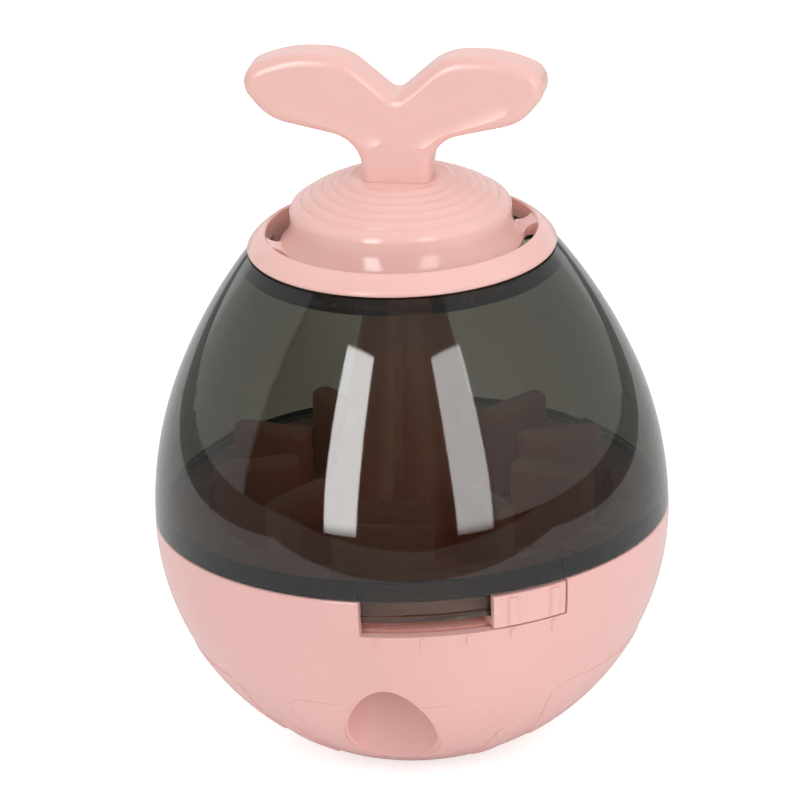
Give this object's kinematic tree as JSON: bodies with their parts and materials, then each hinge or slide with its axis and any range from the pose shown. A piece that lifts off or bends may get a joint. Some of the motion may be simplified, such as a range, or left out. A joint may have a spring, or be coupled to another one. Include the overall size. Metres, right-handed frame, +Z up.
{
  "type": "treat ball",
  "caption": "Roly-poly treat ball with a weighted pink bowl, smoked see-through shell, finned tray, thumb-set outlet shutter and lift-off lid with a sprout handle.",
  "frame": {"origin": "centre of the flat foot under the bowl", "axes": "+Z up along the ball's axis; -Y faces the slider window"},
  "size_m": [0.1, 0.1, 0.1406],
  "materials": {
    "pink_bowl": "glossy",
    "pink_tray": "satin",
    "pink_slider": "glossy",
    "pink_shutter": "satin",
    "pink_lid": "glossy",
    "pink_sprout": "glossy",
    "smoked_clear": "clear smoked plastic",
    "steel_weight": "turned",
    "retainer": "matte",
    "screw_steel": "plated"
  },
  "bodies": {
    "base": {"base_bowl": "pink_bowl", "counterweight": "steel_weight", "weight_retainer": "retainer", "weight_screws": "screw_steel", "treat_tray": "pink_tray", "tray_screws": "screw_steel", "smoked_shell": "smoked_clear"},
    "shutter": {"shutter_ring": "pink_shutter", "thumb_slider": "pink_slider"},
    "lid": {"lid_cap": "pink_lid", "sprout_handle": "pink_sprout", "sprout_washer": "screw_steel", "sprout_screw": "screw_steel"}
  },
  "joints": [
    {"name": "shutter_turn", "type": "hinge", "parent": "base", "child": "shutter", "pos_m": [0, 0, 0.0403], "axis": [0, 0, 1], "range_deg": [-29.2, 0]},
    {"name": "lid_lift", "type": "slide", "parent": "base", "child": "lid", "axis": [0, 0, 1], "range_m": [0, 0.045]}
  ]
}
